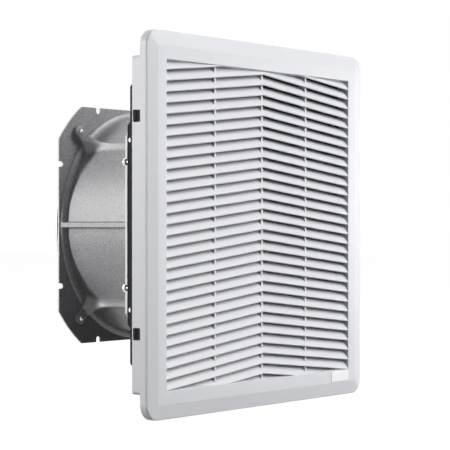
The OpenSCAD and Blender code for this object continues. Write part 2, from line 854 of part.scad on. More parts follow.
module motor_screws() {
    color(bright_zinc) motor_places() {
        ybar(motor_screw_r, base_y0 + 0.2, spider_y1 + head_h / 2);
        pan_head(spider_y1, 2 * motor_screw_r, head_h);
    }
}

module bearing(y) {
    race = (bearing_r - shaft_r) * 0.28;
    recess = 0.6;
    color(bright_zinc) turned() translate([0, y]) {
        translate([shaft_r + run, 0]) square([race, bearing_w]);
        translate([bearing_r - seat - race, 0]) square([race, bearing_w]);
        translate([shaft_r + run, recess]) square([bearing_r - shaft_r - run - seat, bearing_w - 2 * recess]);
    }
}

module front_bearing() { bearing(front_bearing_y); }
module rear_bearing() { bearing(rear_bearing_y); }

module stator_core() {
    tooth_count = 8;
    yoke = 6;
    tooth_w = 8;
    tip_t = 3;
    color(dark_steel) slab(stator_y0, stator_y0 + stator_len) difference() {
        circle(stator_r, $fn = 96);
        circle(tube_out_r + seat);
        difference() {
            circle(stator_r - tip_t);
            circle(tube_out_r + yoke);
            for (i = [0:tooth_count / 2 - 1]) rotate(360 * i / tooth_count)
                square([2 * stator_r, tooth_w], center = true);
        }
    }
}

module windings() {
    color(copper) turned() for (y = [stator_y0 - winding_h, stator_y0 + stator_len])
        translate([winding_in_r, y]) square([winding_out_r - winding_in_r, winding_h]);
}

module shaft() {
    color(bright_zinc) ybar(shaft_r, cup_y0 + cup_t, rear_bearing_y + bearing_w);
}

module rotor_cup() {
    color(dark_steel) turned() {
        translate([0, cup_y0]) square([cup_out_r, cup_t]);
        translate([cup_in_r, cup_y0]) square([cup_t, cup_len]);
        translate([shaft_r + seat, cup_y0 + cup_t]) square([3.5, cup_hub_len]);
    }
}

module rotor_core() {
    color(bright_zinc) turned() translate([cup_in_r - seat - rotor_core_t, stator_y0])
        square([rotor_core_t, stator_len]);
}

// A cambered blade's section along the tangent and the axis
function blade_point(t, side) =
    let (along = (t - 0.5) * blade_chord, lift = blade_camber * sin(180 * t) + side * blade_t / 2)
    [along * cos(blade_pitch) - lift * sin(blade_pitch), along * sin(blade_pitch) + lift * cos(blade_pitch)];

// The blade's section carried out along the radius
module blade() {
    steps = 10;
    rotate([90, 0, 90]) mirror([1, 0]) linear_extrude(ring_in_r) rotate(90) polygon([
        for (i = [0:steps]) blade_point(i / steps, -1),
        for (i = [steps:-1:0]) blade_point(i / steps, 1)]);
}

module impeller() {
    color(black_paint) difference() {
        union() {
            ybar(hub_out_r, hub_y0, hub_y0 + hub_len);
            intersection() {
                for (i = [0:blade_count - 1]) rotate([0, 360 * i / blade_count, 0])
                    translate([0, hub_y, 0]) blade();
                ybar(tip_r, ring_y0, spider_y0 - 2);
            }
        }
        ybar(cup_out_r + seat, ring_y0 - cut, spider_y0);
        impeller_rivet_places() cylinder(r = rivet_r + seat, h = 2 * hub_wall);
    }
}

module impeller_rivet_places() {
    for (i = [0:blade_count - 1]) rotate([0, 360 * (i + 0.5) / blade_count, 0])
        translate([cup_out_r + rivet_inset, hub_y, 0]) rotate([0, 90, 0]) children();
}

module impeller_rivets() {
    color(bright_zinc) impeller_rivet_places()
        cylinder(r = rivet_r, h = hub_out_r + rivet_stand - cup_out_r - rivet_inset);
}

module terminal_block() {
    entry_r = 2.4;
    color(black_paint) translate([0, carrier_y, terminal_z]) difference() {
        block([-terminal_w / 2, 0, -terminal_h / 2], [terminal_w / 2, terminal_d, terminal_h / 2]);
        for (i = [0:terminal_poles - 1]) translate([(i - 1) * pole_pitch, 0, 0]) {
            ybar(screw_r + run, terminal_d / 2, terminal_d + cut);
            translate([0, terminal_d / 2, -terminal_h / 2 - cut]) cylinder(r = entry_r, h = terminal_h / 2);
        }
    }
}

module terminal_screws() {
    color(bright_zinc) translate([0, carrier_y, terminal_z]) for (i = [0:terminal_poles - 1])
        translate([(i - 1) * pole_pitch, 0, 0]) {
            ybar(screw_r, terminal_d / 2 + 0.2, terminal_d + 0.4);
            pan_head(terminal_d, screw_r * 1.6, head_h * 0.7);
        }
}

module earth_screw() {
    color(bright_zinc) translate([terminal_w, 0, terminal_z]) {
        ybar(screw_r, plug_len + 0.2, carrier_y + head_h / 2);
        pan_head(carrier_y, head_r, head_h);
    }
}

base_frame();
panel_gasket();
front_cover();
louvre_grille();
badge_plate();
clip_left_upper();
clip_left_lower();
clip_right_upper();
clip_right_lower();
clip_pins();
filter_mat();
filter_support();
carrier_plate();
plate_screws();
fan_duct();
adapter_plate();
adapter_rivets();
fan_studs();
fan_nuts();
fan_front_plate();
fan_housing();
motor_spider();
fan_rear_plate();
front_plate_screws();
corner_screws();
finger_guard();
motor_base();
motor_screws();
front_bearing();
rear_bearing();
stator_core();
windings();
shaft();
rotor_cup();
rotor_core();
impeller();
impeller_rivets();
terminal_block();
terminal_screws();
earth_screw();
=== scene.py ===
import json
import math

import bmesh
import bpy
from mathutils import Matrix, Vector
from mathutils import noise as solid_noise

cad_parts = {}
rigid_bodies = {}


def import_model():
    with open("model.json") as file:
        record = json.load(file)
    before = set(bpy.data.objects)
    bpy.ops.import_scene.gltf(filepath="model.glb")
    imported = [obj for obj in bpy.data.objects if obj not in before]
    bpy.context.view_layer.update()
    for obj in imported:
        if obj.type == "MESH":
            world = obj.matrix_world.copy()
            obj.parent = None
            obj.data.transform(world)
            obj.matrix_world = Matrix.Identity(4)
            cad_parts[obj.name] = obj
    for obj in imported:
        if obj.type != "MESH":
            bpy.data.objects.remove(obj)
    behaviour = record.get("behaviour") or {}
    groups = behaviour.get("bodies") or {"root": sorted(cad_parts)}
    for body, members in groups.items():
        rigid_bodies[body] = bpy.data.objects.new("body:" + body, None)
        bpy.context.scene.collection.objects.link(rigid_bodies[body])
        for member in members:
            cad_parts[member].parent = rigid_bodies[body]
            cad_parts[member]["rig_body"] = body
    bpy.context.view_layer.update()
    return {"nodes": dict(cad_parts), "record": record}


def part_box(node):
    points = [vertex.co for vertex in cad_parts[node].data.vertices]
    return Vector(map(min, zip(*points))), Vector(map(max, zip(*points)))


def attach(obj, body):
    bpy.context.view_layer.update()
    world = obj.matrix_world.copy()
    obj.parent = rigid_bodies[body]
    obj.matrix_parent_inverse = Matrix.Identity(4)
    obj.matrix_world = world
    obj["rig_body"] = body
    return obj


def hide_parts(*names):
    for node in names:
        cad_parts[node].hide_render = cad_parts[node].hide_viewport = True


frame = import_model()
NODES = frame["nodes"]
SLOTS = {row["node"]: row["material_slot"] for row in frame["record"]["subparts"]}
MM = 0.001
SIDES = (-1, 1)
ALONG_X = Matrix.Rotation(math.radians(90), 3, "Y")
ALONG_Y = Matrix.Rotation(math.radians(-90), 3, "X")

# Main sizes in millimetres, the same as in the part's source
FRAME_HALF = 162.5  # half width of frame and cover
CORNER_R = 14.0
FLAT_HALF = 150.0  # where the flat border ends and the bevel starts
FRONT_Y = -9.2
EDGE_Y = -7.4  # outer edge of the bevel
REAR_Y = -6.6
GRILLE_HALF = 138.5  # half width of the opening
SKIRT_Y = 1.4  # rear of the rim round the louvres

# Cover: the rear rim, the hinge bar with its pegs and web, the snap tongues,
# and how far web and tongues reach into the cover
RIM_Y = REAR_Y + 0.17
HINGE_Y = -3.2
HINGE_Z = -159.5
BAR_HALF = 138.5
BAR_R = 3.0
PEG_END = 144.5
PEG_R = 1.6
WEB_LOW = -162.2
WEB_TOP = -156.7
TONGUE_X = 85.0
TONGUE_HALF = 5.0
TONGUE_Y = -2.4
TONGUE_LOW = 156.5
TONGUE_TOP = 158.5
SINK = 0.3

# Badge: corner radius and height above the cover's front
BADGE_R = 1.6
BADGE_RISE = 0.45

# Louvres: the slats' section and spacing, and the upright ribs behind them
SLAT_PITCH = 9.26
SLAT_SLOPE = 0.105  # fall of a slat from the middle to the sides
SLAT_TOP = GRILLE_HALF - 3.6
SLAT_LIP = Vector((FRONT_Y + 1.25, 0.9))
SLAT_REAR = Vector((SKIRT_Y - 1.1, 9.2))
SLAT_HALF_T = 0.85
SLAT_CAMBER = Vector((-0.792, 0.9))
LIP_SWELL = 1.15  # how much thicker the front lip is
SLAT_H = 9.5
SLAT_GAP = 0.02
PEAK_HALF = 0.8  # half width of the rounded peak in the middle
PEAK_ROUND = 0.3
RIB_HALF = 1.15
RIB_FRONT_Y = FRONT_Y + 2.3
RIB_REAR_Y = -0.4

# Fan ring: drum, rolled ends, side ribs, corner ridges and screw lugs
RING_Y0 = 62.4
RING_Y1 = 140.2
RING_MID = (RING_Y0 + RING_Y1) / 2
RING_IN = 95.0
RING_OUT = 100.5
RING_FLARE = 1.0
FLARE_LENGTH = 9.0
BEAD_R = 107.0
BEAD_W = 3.4
SIDE_RIB_FLAT = 1.9
SIDE_RIB_FADE = 1.1
CREST_R = 104.6
CREST_RISE = 2.4  # power by which the crest rises to the lugs
CREST_ROUND = 0.3
CREST_FOOT = 8.0
CREST_FLANK = 2.2  # power by which its flanks fall to the drum
WIDEN_FROM = 0.4  # share of the half length from which the crest widens
WIDEN_FLAT = 4.4
WIDEN_FOOT = 2.0
BLEND = 0.5  # softness of the seam between drum and ridge
BLEND_LIFT = 0.02
LUG_FOOT_R = 112.4
LUG_FOOT_AT = 0.86  # share of the half length at which the crest meets the lug
LUG_X = 85.0
LUG_R = 5.0
LUG_H = 5.5
LUG_REACH = 8.6
SCREW_R = 1.95
SCREW_TIP = 0.65

# How far the carrier plate's straight sides stand out beyond its solid
CARRIER_OUT = 1.1

# Impeller: hub, blade tips, and the blades' chord, pitch, camber and thickness from hub to tip
HUB_IN = 42.05
HUB_R = 44.5
HUB_HALF = 14.0
HUB_Y = 100.2
TIP_R = 92.8
BLADES = 7
BLADE_CHORD = (50.0, 62.0)
BLADE_PITCH = (37.0, 28.0)
BLADE_CAMBER = 5.0
BLADE_THICK = (2.2, 1.3)
BLADE_EDGE = 0.25
BLADE_FORWARD = 0.8
BLADE_ROOT = 1.2

# Filter mat: mesh cells, depth of the fluff, and scale and share of broad and fine fluff
MAT_CELL = 3.2
MAT_FLUFF = 0.45
FLUFF_BROAD = (90, 0.55)
FLUFF_FINE = (260, 0.35)

# Windings: radii and height of each coil end, its bunches and its strands
COIL_IN = 16.6
COIL_OUT = 34.0
COIL_H = 5.0
COIL_GAP = 0.3
BUNCHES = 8
BUNCH_R = 1.6
BUNCH_Y = 0.6
STRANDS = 60
STRAND_TWIST = 3
STRAND_H = 0.25

# Camera, light levels and floor
CAMERA_LENS = 137.7
CAMERA_AT = (-1.255, -0.913, 0.0)
CAMERA_TURN = -52.94
FILL_HORIZON = 0.02
FILL_ZENITH = 0.16
FLOOR_GAP = 0.5
FLOOR_GLOW = 0.975


# Material helpers
def new_material(name):
    mat = bpy.data.materials.new(name)
    mat.use_nodes = True
    return mat, mat.node_tree.nodes, mat.node_tree.links


def noise(nodes, links, scale, detail, rough):
    """Noise over object coordinates, which are metres in the part's own frame."""
    coord = nodes.new("ShaderNodeTexCoord")
    tex = nodes.new("ShaderNodeTexNoise")
    tex.inputs["Scale"].default_value = scale
    tex.inputs["Detail"].default_value = detail
    tex.inputs["Roughness"].default_value = rough
    links.new(coord.outputs["Object"], tex.inputs["Vector"])
    return tex.outputs["Fac"]


def ramp(nodes, links, value, stops):
    node = nodes.new("ShaderNodeValToRGB")
    elements = node.color_ramp.elements
    while len(elements) < len(stops):
        elements.new(0.5)
    for element, (place, colour) in zip(elements, stops):
        element.position = place
        element.color = (*colour, 1)
    links.new(value, node.inputs["Fac"])
    return node.outputs["Color"]


def bump(nodes, links, height, strength, distance):
    node = nodes.new("ShaderNodeBump")
    node.inputs["Strength"].default_value = strength
    node.inputs["Distance"].default_value = distance
    links.new(height, node.inputs["Height"])
    return node.outputs["Normal"]


def spread(nodes, links, value, low, high):
    """Maps a value between nothing and one to a range."""
    node = nodes.new("ShaderNodeMapRange")
    node.inputs["To Min"].default_value = low
    node.inputs["To Max"].default_value = high
    links.new(value, node.inputs["Value"])
    return node.outputs["Result"]


def math_node(nodes, links, operation, first, second):
    """A math node; its inputs are sockets of other nodes or plain numbers."""
    node = nodes.new("ShaderNodeMath")
    node.operation = operation
    for socket, value in zip(node.inputs, (first, second)):
        if isinstance(value, (int, float)):
            socket.default_value = value
        else:
            links.new(value, socket)
    return node.outputs[0]


def shade(colour, factor):
    return tuple(min(1.0, c * factor) for c in colour)


def grainy(name, colour, variation, fine, rough, grain, metallic=0.0, specular=0.5, broad_share=0.5):
    """A surface with broad shade changes, a fine grain, and roughness that follows the grain."""
    mat, nodes, links = new_material(name)
    shader = nodes["Principled BSDF"]
    broad = noise(nodes, links, 60.0, 4.0, 0.55)
    speck = noise(nodes, links, fine, 1.0, 0.5)
    fine_part = math_node(nodes, links, "MULTIPLY", speck, 1 - broad_share)
    broad_part = math_node(nodes, links, "MULTIPLY", broad, broad_share)
    blend = math_node(nodes, links, "ADD", fine_part, broad_part)
    dark, light = shade(colour, 1 - variation), shade(colour, 1 + variation)
    tone = ramp(nodes, links, blend, [(0.3, dark), (0.5, colour), (0.7, light)])
    links.new(tone, shader.inputs["Base Color"])
    links.new(spread(nodes, links, speck, rough[0], rough[1]), shader.inputs["Roughness"])
    links.new(bump(nodes, links, speck, grain[0], grain[1]), shader.inputs["Normal"])
    shader.inputs["Metallic"].default_value = metallic
    shader.inputs["Specular IOR Level"].default_value = specular
    return mat


# Each row: name, colour, variation, scale of the grain, roughness range, grain strength and depth
MATERIALS = {
    "grey_plastic": grainy(
        "moulded_grey_plastic", (0.60, 0.605, 0.635), 0.02, 1500.0, (0.34, 0.44), (0.06, 0.0002)),
    "white_plastic": grainy(
        "blank_badge_plastic", (0.80, 0.80, 0.80), 0.015, 2200.0, (0.28, 0.36), (0.04, 0.0002)),
    "black_plastic": grainy(
        "moulded_black_plastic", (0.013, 0.013, 0.014), 0.2, 1500.0, (0.46, 0.58), (0.12, 0.0002),
        specular=0.08),
    "black_paint": grainy(
        "black_powder_coat", (0.012, 0.012, 0.0135), 0.2, 900.0, (0.46, 0.6), (0.25, 0.0003),
        specular=0.12),
    "foam": grainy(
        "closed_cell_foam", (0.022, 0.022, 0.022), 0.35, 1200.0, (0.8, 0.95), (0.6, 0.0006)),
    # Painted shade: the fleece is made near-black so that it reads as the dark shade seen through the gaps
    # between the louvres.
    "filter_fleece": grainy(
        "filter_fleece", (0.012, 0.012, 0.014), 0.5, 700.0, (0.85, 1.0), (0.9, 0.0012)),
    "silver_paint": grainy(
        "silver_grained_paint", (0.36, 0.36, 0.375), 0.34, 900.0, (0.42, 0.6), (0.35, 0.0004),
        specular=0.12, broad_share=0.05),
    "cast_aluminium": grainy(
        "blasted_aluminium", (0.29, 0.29, 0.30), 0.34, 900.0, (0.36, 0.48), (0.35, 0.0004),
        specular=1.0, broad_share=0.05),
    "cut_edge": grainy(
        "bare_cut_edge", (0.56, 0.56, 0.555), 0.12, 1600.0, (0.5, 0.64), (0.1, 0.0002),
        metallic=0.3, specular=0.3),
    "zinc_steel": grainy(
        "bright_zinc", (0.68, 0.68, 0.66), 0.08, 1800.0, (0.22, 0.36), (0.08, 0.0002), metallic=1.0),
    "wire_steel": grainy(
        "plated_wire", (0.62, 0.62, 0.61), 0.1, 1500.0, (0.24, 0.4), (0.1, 0.0002), metallic=1.0),
    "bearing_steel": grainy(
        "ground_steel", (0.55, 0.55, 0.56), 0.05, 2200.0, (0.18, 0.28), (0.04, 0.0002), metallic=1.0),
    "lamination": grainy(
        "stator_laminations", (0.20, 0.20, 0.205), 0.2, 1500.0, (0.4, 0.55), (0.2, 0.0003), metallic=0.8),
    "copper_wire": grainy(
        "enamelled_copper", (0.55, 0.22, 0.08), 0.2, 1500.0, (0.22, 0.35), (0.15, 0.0003), metallic=0.7),
    "rotor_paint": grainy(
        "black_rotor_paint", (0.03, 0.03, 0.032), 0.2, 1000.0, (0.35, 0.5), (0.2, 0.0003)),
}


# Mesh helpers
def piece(name, bm, slot, body, *nodes, smooth_angle=35.0):
    """Makes an object of a mesh in millimetres, dresses it and lets it ride in place of its nodes."""
    bmesh.ops.remove_doubles(bm, verts=bm.verts, dist=1e-4)
    bmesh.ops.recalc_face_normals(bm, faces=bm.faces)
    bmesh.ops.scale(bm, vec=(MM, MM, MM), verts=bm.verts)
    mesh = bpy.data.meshes.new(name)
    bm.to_mesh(mesh)
    bm.free()
    obj = bpy.data.objects.new(name, mesh)
    bpy.context.scene.collection.objects.link(obj)
    mesh.materials.append(MATERIALS[slot])
    smooth(obj, smooth_angle)
    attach(obj, body)
    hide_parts(*nodes)
    return obj


def smooth(obj, angle):
    bpy.context.view_layer.objects.active = obj
    obj.select_set(True)
    bpy.ops.object.shade_smooth_by_angle(angle=math.radians(angle))
    obj.select_set(False)


def flatten(obj):
    """Lets the large flat faces settle the normals, so that they shade evenly."""
    obj.modifiers.new("flat_faces", "WEIGHTED_NORMAL").keep_sharp = True


def soften(obj, width):
    """Rounds the hard edges and keeps flat faces flat."""
    mod = obj.modifiers.new("soft_edges", "BEVEL")
    mod.width = width * MM
    mod.segments = 2
    mod.limit_method = "ANGLE"
    mod.angle_limit = math.radians(30)
    mod.use_clamp_overlap = True
    mod.miter_outer = "MITER_ARC"
    mod.harden_normals = False
    flatten(obj)


def node_mesh(node):
    """A copy of a node's mesh in millimetres."""
    bm = bmesh.new()
    bm.from_mesh(NODES[node].data)
    bmesh.ops.scale(bm, vec=(1 / MM,) * 3, verts=bm.verts)
    return bm


def from_node(node, width, add=None):
    """A copy of a solid with soft edges, which stands for it; add puts more shapes into its mesh."""
    bm = node_mesh(node)
    bmesh.ops.remove_doubles(bm, verts=bm.verts, dist=1e-3)
    bmesh.ops.dissolve_limit(bm, angle_limit=math.radians(1.0), verts=bm.verts, edges=bm.edges)
    bmesh.ops.connect_verts_concave(bm, faces=bm.faces)
    if add:
        add(bm)
    obj = piece(node + "_soft", bm, SLOTS[node], NODES[node]["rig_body"], node)
    soften(obj, width)
    return obj


def ring_points(half, radius, steps=8):
    """A rounded square in x and z, counter-clockwise, with the same number of points for every size."""
    points = []
    for corner, (sx, sz) in enumerate(((1, 1), (-1, 1), (-1, -1), (1, -1))):
        for i in range(steps + 1):
            a = math.radians(90 * corner + 90 * i / steps)
            points.append((sx * (half - radius) + radius * math.cos(a),
                           sz * (half - radius) + radius * math.sin(a)))
    return points


def flat_loop(half, radius, y):
    return [(x, y, z) for x, z in ring_points(half, radius)]


def skin(bm, loops, closed=True):
    """Joins loops of points by quads, and either the last loop to the first or a cap to each end."""
    made = [[bm.verts.new(p) for p in loop] for loop in loops]
    pairs = list(zip(made, made[1:]))
    if closed:
        pairs.append((made[-1], made[0]))
    for one, two in pairs:
        for i in range(len(one)):
            j = (i + 1) % len(one)
            bm.faces.new((one[i], one[j], two[j], two[i]))
    if not closed:
        bm.faces.new(made[0])
        bm.faces.new(list(reversed(made[-1])))


def add_box(bm, low, high):
    made = bmesh.ops.create_cube(bm, size=1.0)["verts"]
    size = [high[i] - low[i] for i in range(3)]
    middle = [(high[i] + low[i]) / 2 for i in range(3)]
    bmesh.ops.scale(bm, vec=size, verts=made)
    bmesh.ops.translate(bm, vec=middle, verts=made)


def polar(radius, angle):
    return radius * math.cos(angle), radius * math.sin(angle)


def full_turn(steps):
    return [2 * math.pi * i / steps for i in range(steps)]


def lathe(bm, profile, axis_turn, place, steps):
    """Turns a profile of (radius, height) about an axis through a place and closes both ends."""
    loops = []
    for r, h in profile:
        loops.append([axis_turn @ Vector((*polar(r, a), h)) + Vector(place) for a in full_turn(steps)])
    skin(bm, loops, closed=False)


# Camera and light
def seen_rays(nodes, links):
    """One for a ray from the camera, a mirror or glass, and nothing for a ray that carries light."""
    path = nodes.new("ShaderNodeLightPath")
    total = path.outputs["Is Camera Ray"]
    for kind in ("Is Glossy Ray", "Is Transmission Ray"):
        total = math_node(nodes, links, "MAXIMUM", total, path.outputs[kind])
    return total


def make_camera():
    cam = bpy.data.cameras.new("camera")
    cam.lens = CAMERA_LENS
    cam.sensor_width = 36
    cam.clip_end = 20
    eye = bpy.data.objects.new("camera", cam)
    eye.location = CAMERA_AT
    eye.rotation_euler = (math.radians(90), 0, math.radians(CAMERA_TURN))
    bpy.context.scene.collection.objects.link(eye)
    bpy.context.scene.camera = eye


def make_world():
    """White where it is seen, and a weak fill that grows from the horizon to the zenith."""
    world = bpy.data.worlds.new("studio")
    bpy.context.scene.world = world
    world.use_nodes = True
    nodes, links = world.node_tree.nodes, world.node_tree.links
    seen = nodes["Background"]
    seen.inputs["Color"].default_value = (1, 1, 1, 1)
    seen.inputs["Strength"].default_value = 1.0
    fill = nodes.new("ShaderNodeBackground")
    fill.inputs["Color"].default_value = (0.97, 0.98, 1.0, 1)
    direction = nodes.new("ShaderNodeTexCoord")
    split = nodes.new("ShaderNodeSeparateXYZ")
    links.new(direction.outputs["Generated"], split.inputs[0])
    links.new(spread(nodes, links, split.outputs["Z"], FILL_HORIZON, FILL_ZENITH), fill.inputs["Strength"])
    mix = nodes.new("ShaderNodeMixShader")
    links.new(seen_rays(nodes, links), mix.inputs["Fac"])
    links.new(fill.outputs[0], mix.inputs[1])
    links.new(seen.outputs[0], mix.inputs[2])
    links.new(mix.outputs[0], nodes["World Output"].inputs["Surface"])


def make_floor():
    """A floor that looks white, takes a shadow and throws little light back."""
    bm = bmesh.new()
    bmesh.ops.create_grid(bm, x_segments=1, y_segments=1, size=6)
    mesh = bpy.data.meshes.new("floor")
    bm.to_mesh(mesh)
    bm.free()
    floor = bpy.data.objects.new("floor", mesh)
    floor.location = (0, 0, -(FRAME_HALF + FLOOR_GAP) * MM)
    bpy.context.scene.collection.objects.link(floor)
    mat, nodes, links = new_material("pale_floor")
    shader = nodes["Principled BSDF"]
    shader.inputs["Base Color"].default_value = (0.09, 0.09, 0.09, 1)
    shader.inputs["Roughness"].default_value = 0.9
    shader.inputs["Specular IOR Level"].default_value = 0.0
    glow = nodes.new("ShaderNodeEmission")
    links.new(spread(nodes, links, seen_rays(nodes, links), 0.0, FLOOR_GLOW), glow.inputs["Strength"])
    both = nodes.new("ShaderNodeAddShader")
    links.new(shader.outputs[0], both.inputs[0])
    links.new(glow.outputs[0], both.inputs[1])
    links.new(both.outputs[0], nodes["Material Output"].inputs["Surface"])
    mesh.materials.append(mat)


def lamp(name, place, target, size, power):
    """An area lamp of a size in metres, turned to a target."""
    data = bpy.data.lights.new(name, "AREA")
    data.shape = "RECTANGLE"
    data.size, data.size_y = size
    data.energy = power
    obj = bpy.data.objects.new(name, data)
    obj.location = place
    obj.rotation_euler = (Vector(target) - Vector(place)).to_track_quat("-Z", "Y").to_euler()
    bpy.context.scene.collection.objects.link(obj)


def make_stage():
    bpy.context.scene.view_settings.view_transform = "Standard"
    make_camera()
    make_world()
    lamp("key_right", (2.2, -1.1, 0.06), (0.0, 0.0, 0.0), (0.9, 0.6), 14)
    lamp("front_tall", (1.3, -2.0, 1.7), (0.0, 0.0, 0.0), (1.8, 2.6), 97)
    lamp("front_low", (0.6, -2.8, -0.1), (0.0, 0.0, 0.0), (1.6, 1.2), 26)
    lamp("left_rear", (-1.75, 1.08, 0.6), (0.0, 0.06, 0.0), (0.25, 1.5), 37)
    make_floor()


# Front cover
def bevel_y(x, z):
    """Depth of the cover's front face: flat in the middle, then sloping to the edge."""
    out = max(abs(x), abs(z)) - FLAT_HALF
    return FRONT_Y + max(0.0, out) * (EDGE_Y - FRONT_Y) / (FRAME_HALF - FLAT_HALF)


def sloped_loop(half, radius, drop):
    return [(x, bevel_y(x, z) + drop, z) for x, z in ring_points(half, radius)]


def make_cover():
    bm = bmesh.new()
    # the opening with its rounded front edge
    opening = ((0.0, 0.6, REAR_Y), (0.0, 0.6, FRONT_Y + 0.7), (0.12, 0.7, FRONT_Y + 0.3),
               (0.35, 0.9, FRONT_Y + 0.08), (0.8, 1.2, FRONT_Y))
    loops = [flat_loop(GRILLE_HALF + out, radius, y) for out, radius, y in opening]
    # the flat border, the bevel and its rounded outer edge
    loops.append(flat_loop(FLAT_HALF - 0.4, 3.0, FRONT_Y))
    loops.append(sloped_loop(FLAT_HALF + 0.4, 3.2, 0.01))
    for inset, drop in ((1.2, 0.0), (0.55, 0.02), (0.18, 0.16), (0.0, 0.42)):
        loops.append(sloped_loop(FRAME_HALF - inset, CORNER_R - inset, drop))
    # the rim that faces the flange
    for inset, y in ((0.0, RIM_Y - 0.12), (0.12, RIM_Y), (1.3, RIM_Y), (1.5, REAR_Y)):
        loops.append(flat_loop(FRAME_HALF - inset, CORNER_R - inset, y))
    skin(bm, loops)
    # hinge bar with its pegs, and the two snap tongues
    end = [(PEG_R - 0.3, PEG_END), (PEG_R, PEG_END - 0.4), (PEG_R, BAR_HALF), (BAR_R, BAR_HALF)]
    profile = [(r, -h) for r, h in end] + list(reversed(end))
    lathe(bm, profile, ALONG_X, (0, HINGE_Y, HINGE_Z), 40)
    add_box(bm, (-BAR_HALF, REAR_Y - SINK, WEB_LOW), (BAR_HALF, HINGE_Y, WEB_TOP))
    for s in SIDES:
        add_box(bm, (s * TONGUE_X - TONGUE_HALF, REAR_Y - SINK, TONGUE_LOW),
                (s * TONGUE_X + TONGUE_HALF, TONGUE_Y, TONGUE_TOP))
    flatten(piece("cover_bezel", bm, "grey_plastic", "cover", "front_cover", smooth_angle=28))


def make_badge():
    """The badge plate, left blank."""
    low, high = (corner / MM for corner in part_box("badge_plate"))
    middle, half = (low + high) / 2, (high - low) / 2
    front = FRONT_Y - BADGE_RISE
    corner_at = 2 * BADGE_R
    loops = []
    for inset, y in ((0, FRONT_Y), (0, front + 0.25), (0.08, front + 0.08), (0.28, front)):
        scale = (corner_at - inset) / corner_at
        loop = []
        for x, z in ring_points(corner_at, BADGE_R - inset):
            loop.append((middle.x + math.copysign(half.x - corner_at, x) + x * scale, y,
                         middle.z + math.copysign(half.z - corner_at, z) + z * scale))
        loops.append(loop)
    bm = bmesh.new()
    skin(bm, loops, closed=False)
    flatten(piece("badge_blank", bm, "white_plastic", "cover", "badge_plate", smooth_angle=28))


# Louvres
def round_end(centre, start, end, radius):
    """Points of an arc about a centre from the end's direction back to the start's."""
    a0 = math.atan2((start - centre).y, (start - centre).x)
    a1 = math.atan2((end - centre).y, (end - centre).x)
    while a1 < a0:
        a1 += 2 * math.pi
    return [centre + Vector(polar(radius, a0 + (a1 - a0) * k / 6)) for k in range(5, 0, -1)]


def slat_profile():
    """A slat's section in depth and height: a rounded lip, then a cambered blade that rises to the rear."""
    steps = 9
    centre = []
    for i in range(steps + 1):
        t = i / steps
        centre.append(SLAT_LIP.lerp(SLAT_REAR, t) + SLAT_CAMBER * math.sin(math.pi * t))
    front, back = [], []
    for i, p in enumerate(centre):
        along = (centre[min(steps, i + 1)] - centre[max(0, i - 1)]).normalized()
        across = Vector((-along.y, along.x))
        wide = SLAT_HALF_T * (LIP_SWELL if i == 0 else 1.0)
        front.append(p + across * wide)
        back.append(p - across * wide)
    # front face upwards, over the rear edge, back face downwards, round the lip
    ring = front + round_end(centre[-1], back[-1], front[-1], SLAT_HALF_T)
    ring += list(reversed(back)) + round_end(centre[0], front[0], back[0], SLAT_HALF_T * LIP_SWELL)
    return ring


def make_louvres():
    section = slat_profile()
    limit = GRILLE_HALF - SLAT_GAP
    half = [PEAK_HALF] + [GRILLE_HALF * quarter / 4 for quarter in (1, 2, 3)] + [limit]
    stations = [-x for x in reversed(half)] + [0] + half
    bm = bmesh.new()
    for k in range(-2, 34):
        base = SLAT_TOP - k * SLAT_PITCH
        if base - SLAT_SLOPE * limit > limit - 0.2 or base + SLAT_H < -limit:
            continue
        loops = []
        for x in stations:
            drop = SLAT_SLOPE * max(abs(x), PEAK_ROUND)
            loops.append([(x, y, base + z - drop) for y, z in section])
        skin(bm, loops, closed=False)
    # slats that cross the opening's upper or lower edge end there
    for side in SIDES:
        cut = bmesh.ops.bisect_plane(bm, geom=bm.verts[:] + bm.edges[:] + bm.faces[:],
                                     plane_co=(0, 0, side * limit), plane_no=(0, 0, side), clear_outer=True)
        edges = [e for e in cut["geom_cut"] if isinstance(e, bmesh.types.BMEdge)]
        bmesh.ops.holes_fill(bm, edges=edges)
    # the rim that seats the louvres behind the opening, and the upright ribs
    rim = ((-0.6, 0.4, REAR_Y), (1.4, 0.8, REAR_Y), (1.4, 0.8, SKIRT_Y - 0.2), (1.2, 0.7, SKIRT_Y),
           (-0.6, 0.4, SKIRT_Y))
    skin(bm, [flat_loop(GRILLE_HALF + out, radius, y) for out, radius, y in rim])
    for x in (-GRILLE_HALF / 2, 0, GRILLE_HALF / 2):
        add_box(bm, (x - RIB_HALF, RIB_FRONT_Y, -GRILLE_HALF), (x + RIB_HALF, RIB_REAR_Y, GRILLE_HALF))
    piece("louvres", bm, "grey_plastic", "cover", "louvre_grille", smooth_angle=40)


# Fan ring
def ridge_step(s, flat, fade):
    """One on the flat of a ridge, falling smoothly to nothing over the fade."""
    t = min(1.0, max(0.0, (flat + fade - abs(s)) / fade))
    return t * t * (3 - 2 * t)


def ring_profile(edge):
    """Radius of the ring by the distance from its nearer plate: a rounded bead, then the drum."""
    if edge >= BEAD_W:
        return RING_OUT
    return RING_OUT + (BEAD_R - RING_OUT) * math.sqrt(1 - (edge / BEAD_W) ** 2)


def corner_ridge(aside, reach):
    """Radius of a corner ridge: a sharp crest that rises and widens from the middle to both lugs."""
    crest = CREST_R + (LUG_FOOT_R - CREST_R) * min(1.0, reach / LUG_FOOT_AT) ** CREST_RISE
    widen = max(0.0, min(1.0, (reach - WIDEN_FROM) / (LUG_FOOT_AT - WIDEN_FROM)))
    rounded = math.sqrt(aside * aside + CREST_ROUND) - math.sqrt(CREST_ROUND)
    past_flat = max(0.0, rounded - WIDEN_FLAT * widen * widen)
    flank = max(0.0, 1 - past_flat / (CREST_FOOT - WIDEN_FOOT * widen))
    return RING_OUT + (crest - RING_OUT) * flank ** CREST_FLANK


